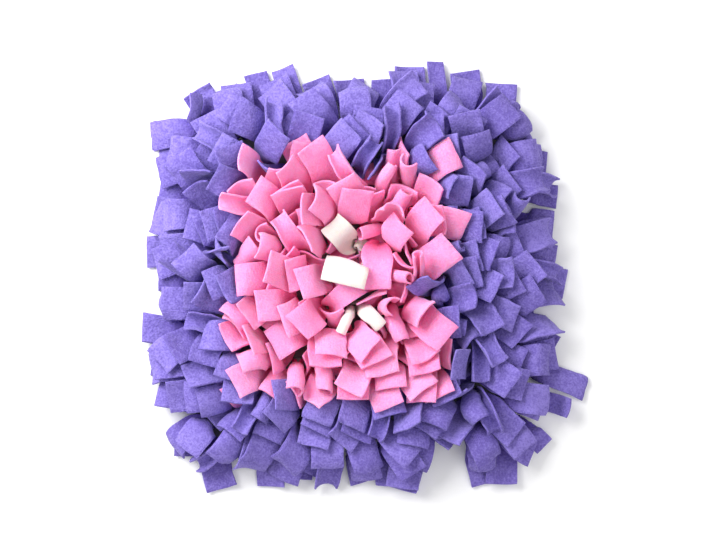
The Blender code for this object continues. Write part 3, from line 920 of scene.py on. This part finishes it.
def settle(laid, relaxed):
    """All strips as one cloth, which grows from the laid shapes to the relaxed ones and then rests."""
    bpy.ops.object.select_all(action="DESELECT")
    for number, grid in enumerate(laid):
        strip = copy_of(cut_strip)
        strip.data.vertices.foreach_set("co", (on_strip(grid) * SETTLING_SCALE).ravel())
        if tail_keys[number] in ARRANGED_TAILS:
            strip.vertex_groups["held"].add(free_points, ARRANGED_HOLD, "REPLACE")
        order = strip.data.attributes.new("order", "INT", "POINT")
        order.data.foreach_set("value", np.arange(POINTS_PER_STRIP) + number * POINTS_PER_STRIP)
        strip.select_set(True)
        bpy.context.view_layer.objects.active = strip
    bpy.ops.object.join()
    cloth = bpy.context.object
    count = len(cloth.data.vertices)
    order = np.empty(count, np.int32)
    cloth.data.attributes["order"].data.foreach_get("value", order)
    cloth.shape_key_add(name="laid")
    relaxed_key = cloth.shape_key_add(name="relaxed")
    wanted = np.concatenate([on_strip(grid) for grid in relaxed]) * SETTLING_SCALE
    relaxed_key.data.foreach_set("co", wanted[order].ravel())
    for moment, value in ((1, 0.0), (GROWING_FRAMES, 1.0)):
        relaxed_key.value = value
        relaxed_key.keyframe_insert("value", frame=moment)

    bpy.ops.mesh.primitive_plane_add(size=12.0, location=(0.0, 0.0, 0.0))
    ground = bpy.context.object
    deck_height = MAT_TOP * SETTLING_SCALE
    bpy.ops.mesh.primitive_cube_add(size=1.0, location=(0.0, 0.0, deck_height / 2))
    deck = bpy.context.object
    deck.scale = (MAT_SIDE * SETTLING_SCALE, MAT_SIDE * SETTLING_SCALE, deck_height)
    for stop in (ground, deck):
        stop.modifiers.new("stop", "COLLISION")
        stop.collision.thickness_outer = 0.005
        stop.collision.thickness_inner = 0.01
        stop.collision.cloth_friction = 15.0

    weave = cloth.modifiers.new("settling", "CLOTH")
    settings = weave.settings
    settings.use_dynamic_mesh = True
    settings.quality = 5
    settings.mass = 0.3
    settings.tension_stiffness = 25.0
    settings.compression_stiffness = 25.0
    settings.shear_stiffness = 12.0
    settings.bending_stiffness = 240.0
    settings.effector_weights.gravity = 0.8
    settings.tension_damping = 8.0
    settings.compression_damping = 8.0
    settings.bending_damping = 1.0
    settings.air_damping = 2.0
    settings.vertex_group_mass = "held"
    settings.pin_stiffness = 4.0
    touching = weave.collision_settings
    touching.use_collision = True
    touching.distance_min = 0.010
    touching.collision_quality = 2
    touching.use_self_collision = True
    touching.self_distance_min = 0.020
    touching.self_friction = 15.0
    weave.point_cache.frame_start = 1
    weave.point_cache.frame_end = SETTLING_FRAMES
    scene = bpy.context.scene
    scene.frame_start = 1
    scene.frame_end = SETTLING_FRAMES
    for frame_number in range(1, SETTLING_FRAMES + 1):
        scene.frame_set(frame_number)
    shape = cloth.evaluated_get(bpy.context.evaluated_depsgraph_get())
    settled = np.empty(count * 3, np.float32)
    shape.data.vertices.foreach_get("co", settled)
    result = np.empty((count, 3))
    result[order] = settled.reshape(-1, 3) / SETTLING_SCALE
    scene.frame_set(1)
    for item in (cloth, ground, deck):
        bpy.data.objects.remove(item, do_unlink=True)
    result[:, 2] = np.maximum(result[:, 2], FLEECE_THICKNESS / 2)
    return result.reshape(len(laid), POINTS_PER_STRIP, 3)


settled_points = settle(laid_grids, relaxed_grids)


# Fleece finish: brushed polyester knit with a fine pebbly pile.  The nap scatters light, so the
# colour stays soft and even, with faint knit ribs under the pile and a slightly different tone per
# strip.  The pebbles and tufts of the pile are also painted into the colour, as painted light and
# shade between a shaded and a lit tone.  Towards its hole a strip is squeezed, and its colour is
# painted darker and deeper there: painted shade where the strips shade each other at their roots.

def fleece_material(name, root_shade, shaded, lit, grain, pile_height, glow):
    shading = Shading(name)
    strip = shading.node("ShaderNodeUVMap", {"uv_map": "UVMap"}, {})["UV"]
    place = shading.node("ShaderNodeTexCoord", {}, {})["Object"]
    tone = shading.node("ShaderNodeAttribute", {"attribute_name": "tone"}, {})["Fac"]
    reach = shading.node("ShaderNodeAttribute", {"attribute_name": "reach"}, {})["Fac"]
    pebbles = shading.node("ShaderNodeTexNoise", {}, {"Vector": place, "Scale": 520.0, "Detail": 2.0})["Fac"]
    tufts = shading.node("ShaderNodeTexNoise", {}, {"Vector": place, "Scale": 170.0, "Detail": 2.0})["Fac"]
    ribs = shading.node("ShaderNodeTexWave", {}, {"Vector": strip, "Scale": 190.0, "Distortion": 1.5})["Fac"]
    # blend: a slightly different tone per strip, plus the pile's pebbles and tufts as painted light and
    # shade between the shaded and lit tones.
    blend = 0.25 + 0.5 * tone + grain * (pebbles - 0.5) + 0.5 * grain * (tufts - 0.5)
    mixing = {"data_type": "RGBA"}
    pile_colour = shading.node("ShaderNodeMix", mixing, {0: blend, 6: shaded, 7: lit})["Result"]
    # Painted shade: towards the hole the colour darkens to the root shade, fading out over the first two
    # thirds of the strip; the loops under the mat carry no reach and are painted in the root shade all over.
    root_shade_fade = 1.5 * reach
    colour = shading.node("ShaderNodeMix", mixing, {0: root_shade_fade, 6: root_shade, 7: pile_colour})["Result"]
    pile = pebbles + 0.4 * tufts + 0.12 * ribs
    relief = shading.node("ShaderNodeBump", {}, {"Height": pile, "Strength": 0.8, "Distance": pile_height})
    shading.set(Base_Color=colour, Roughness=0.95, Normal=relief["Normal"], Sheen_Weight=0.15)
    shading.set(Sheen_Roughness=0.5, Specular_IOR_Level=0.15, Subsurface_Weight=glow, Subsurface_Scale=0.004)
    return shading.material


# Each fleece has a painted root shade, plus a shaded and a lit tone that carry painted light and shade of
# the pile and a tone per strip.
fleeces = {
    "purple": fleece_material(
        "purple_fleece",
        root_shade=(0.095, 0.050, 0.36, 1.0),
        shaded=(0.150, 0.109, 0.42, 1.0),
        lit=(0.265, 0.208, 0.62, 1.0),
        grain=2.6,
        pile_height=0.0012,
        glow=0.0,
    ),
    "pink": fleece_material(
        "pink_fleece",
        root_shade=(1.0, 0.075, 0.28, 1.0),
        shaded=(1.0, 0.255, 0.52, 1.0),
        lit=(1.0, 0.375, 0.665, 1.0),
        grain=1.5,
        pile_height=0.0009,
        glow=0.5,
    ),
    "white": fleece_material(
        "white_fleece",
        root_shade=(0.80, 0.64, 0.56, 1.0),
        shaded=(0.73, 0.70, 0.65, 1.0),
        lit=(0.81, 0.785, 0.75, 1.0),
        grain=0.8,
        pile_height=0.0006,
        glow=0.3,
    ),
}


# Rows of fleece: the strips of one row are one chain, from hole to hole under the mat as short flat
# loops and up through the holes as tails.  Every row is one piece with a single colour of fleece.

LOOP_WIDTH = 0.017
LOOP_END_WIDTH = 0.008
LOOP_TOP = 0.0066
LOOP_GAP = 0.0035
LOOP_FLAT_SHARE = 0.62
LOOP_RISING_SHARE = 0.34
SHEET_THICKNESS = 0.0018
CUT_EDGE_ROUNDING = 0.0006

bpy.ops.mesh.primitive_grid_add(x_subdivisions=10, y_subdivisions=3, size=1.0)
cut_loop = bpy.context.object
cut_loop.name = "cut_loop"
for vert in cut_loop.data.vertices:
    along = vert.co.x * (HOLE_PITCH - LOOP_GAP)
    rise = smooth((abs(vert.co.x) * 2 - LOOP_FLAT_SHARE) / LOOP_RISING_SHARE)
    across = vert.co.y * (LOOP_WIDTH + (LOOP_END_WIDTH - LOOP_WIDTH) * rise)
    vert.co = (along, across, BAND_THICKNESS / 2 + (LOOP_TOP - BAND_THICKNESS / 2) * rise)


def backing_name(column, row):
    """The name of the chain of strips that passes a hole."""
    colour = colour_of(column, row)
    if colour == "white":
        return "white_knot"
    white_row = any(hole[1] == row for hole in WHITE_HOLES)
    split = PINK_ROWS[0] <= row <= PINK_ROWS[1] if colour == "purple" else white_row
    side = ("_left" if column < 0 else "_right") if split else ""
    return f"{colour}_row_{row + LAST + 1:02d}{side}"


def floor_hole(side, place):
    """The hole that a floor tail's strip goes through."""
    holes = {
        "top": (place, LAST),
        "bottom": (place, -LAST),
        "left": (-LAST, place),
        "right": (LAST, place),
    }
    return holes[side]


def give_values(piece, name, values):
    """Gives each point of a strip or loop a value that its fleece reads."""
    layer = piece.data.attributes.new(name, "FLOAT", "POINT")
    layer.data.foreach_set("value", values)


strip_reach = np.array(strip_rows, np.float32) / CELLS_ALONG
chains = {}
for key, points, relaxed in zip(tail_keys, settled_points, relaxed_grids):
    hole = floor_hole(*key) if len(key) == 2 else key[:2]
    width = float(np.linalg.norm(np.diff(relaxed[-1], axis=0), axis=1).sum())
    length = float(np.linalg.norm(np.diff(relaxed[:, 0], axis=0), axis=1).sum())
    tail = copy_of(cut_strip)
    tail.data.vertices.foreach_set("co", points.ravel())
    flat_map = np.empty(len(tail.data.loops) * 2, np.float32)
    tail.data.uv_layers[0].data.foreach_get("uv", flat_map)
    flat_map = flat_map.reshape(-1, 2) * (width, length) + (strip_draw.random(), strip_draw.random())
    tail.data.uv_layers[0].data.foreach_set("uv", flat_map.astype(np.float32).ravel())
    give_values(tail, "tone", np.full(POINTS_PER_STRIP, strip_draw.random(), np.float32))
    # reach runs from 0 at the root to 1 at the tip and sets how far the painted root shade fades out.
    give_values(tail, "reach", strip_reach)
    chains.setdefault(backing_name(*hole), []).append((tail, width * length))

for row in range(-LAST, LAST + 1):
    for column in range(-LAST, LAST + 1):
        name = backing_name(column, row)
        step = (0, 1) if name == "white_knot" else (1, 0)
        if (column + step[0], row + step[1]) in WHITE_HOLES and name != "white_knot":
            continue
        if column + step[0] > LAST or backing_name(column + step[0], row + step[1]) != name:
            continue
        loop = copy_of(cut_loop)
        loop.location = ((column + step[0] / 2) * HOLE_PITCH, (row + step[1] / 2) * HOLE_PITCH, 0.0)
        loop.rotation_euler.z = math.radians(90 * step[1])
        give_values(loop, "tone", np.full(len(loop.data.vertices), strip_draw.random(), np.float32))
        chains[name].append((loop, LOOP_WIDTH * HOLE_PITCH))

for name, members in chains.items():
    colour = name.split("_")[0]
    bpy.ops.object.select_all(action="DESELECT")
    for item, area in members:
        item.select_set(True)
        bpy.context.view_layer.objects.active = item
    bpy.ops.object.join()
    chain = bpy.context.object
    bpy.ops.object.transform_apply(location=True, rotation=True, scale=True)
    chain.name = f"fleece_{name}"
    chain.vertex_groups.clear()
    chain.data.materials.clear()
    chain.data.materials.append(fleeces[colour])
    rounding = chain.modifiers.new("rounding", "SUBSURF")
    rounding.levels = 1
    rounding.render_levels = 1
    rounding.boundary_smooth = "PRESERVE_CORNERS"
    body = chain.modifiers.new("body", "SOLIDIFY")
    body.thickness = SHEET_THICKNESS
    body.offset = 0.0
    soft_edge = chain.modifiers.new("soft_edge", "BEVEL")
    soft_edge.width = CUT_EDGE_ROUNDING
    soft_edge.segments = 1
    soft_edge.limit_method = "ANGLE"
    soft_edge.angle_limit = math.radians(50)
    for modifier in [item.name for item in chain.modifiers]:
        bpy.ops.object.modifier_apply(modifier=modifier)
    bpy.ops.object.shade_smooth()
    area = sum(area for item, area in members)
    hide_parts(name)
    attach(chain, "root")

bpy.data.objects.remove(cut_strip, do_unlink=True)
bpy.data.objects.remove(cut_loop, do_unlink=True)


# Floor, light and camera: a plain pale studio sweep, one large soft light from the upper left, and a
# long lens almost straight above.

def floor_material():
    shading = Shading("studio_floor")
    shading.set(Base_Color=(0.98, 0.98, 0.98, 1.0), Roughness=0.9, Specular_IOR_Level=0.0)
    return shading.material


bpy.ops.mesh.primitive_plane_add(size=8.0, location=(0.0, 0.0, 0.0))
floor = bpy.context.object
floor.name = "studio_floor"
floor.data.materials.append(floor_material())

world = bpy.data.worlds.new("studio")
world.use_nodes = True
world.node_tree.nodes["Background"].inputs["Color"].default_value = (1.0, 1.0, 1.0, 1.0)
world.node_tree.nodes["Background"].inputs["Strength"].default_value = 0.58
bpy.context.scene.world = world


def add_light(name, place, size, power):
    lamp = bpy.data.lights.new(name, "AREA")
    lamp.size = size
    lamp.energy = power
    item = bpy.data.objects.new(name, lamp)
    item.location = place
    item.rotation_euler = (-Vector(place)).to_track_quat("-Z", "Y").to_euler()
    bpy.context.scene.collection.objects.link(item)


add_light("key_light", (-0.62, 0.42, 0.65), 0.75, 14.8)
add_light("fill_light", (1.0, -0.5, 1.8), 1.6, 11.0)

CAMERA_TILT = math.radians(5)
CAMERA_DISTANCE = 1.675
AIM = Vector((0.002, 0.0055, 0.025))
camera_data = bpy.data.cameras.new("camera")
camera_data.lens = 85.0
camera_data.sensor_width = 36.0
camera = bpy.data.objects.new("camera", camera_data)
back = Vector((0.0, -math.sin(CAMERA_TILT), math.cos(CAMERA_TILT)))
camera.location = AIM + back * CAMERA_DISTANCE
camera.rotation_euler = (CAMERA_TILT, 0.0, 0.0)
bpy.context.scene.collection.objects.link(camera)
bpy.context.scene.camera = camera
bpy.context.scene.view_settings.view_transform = "Standard"
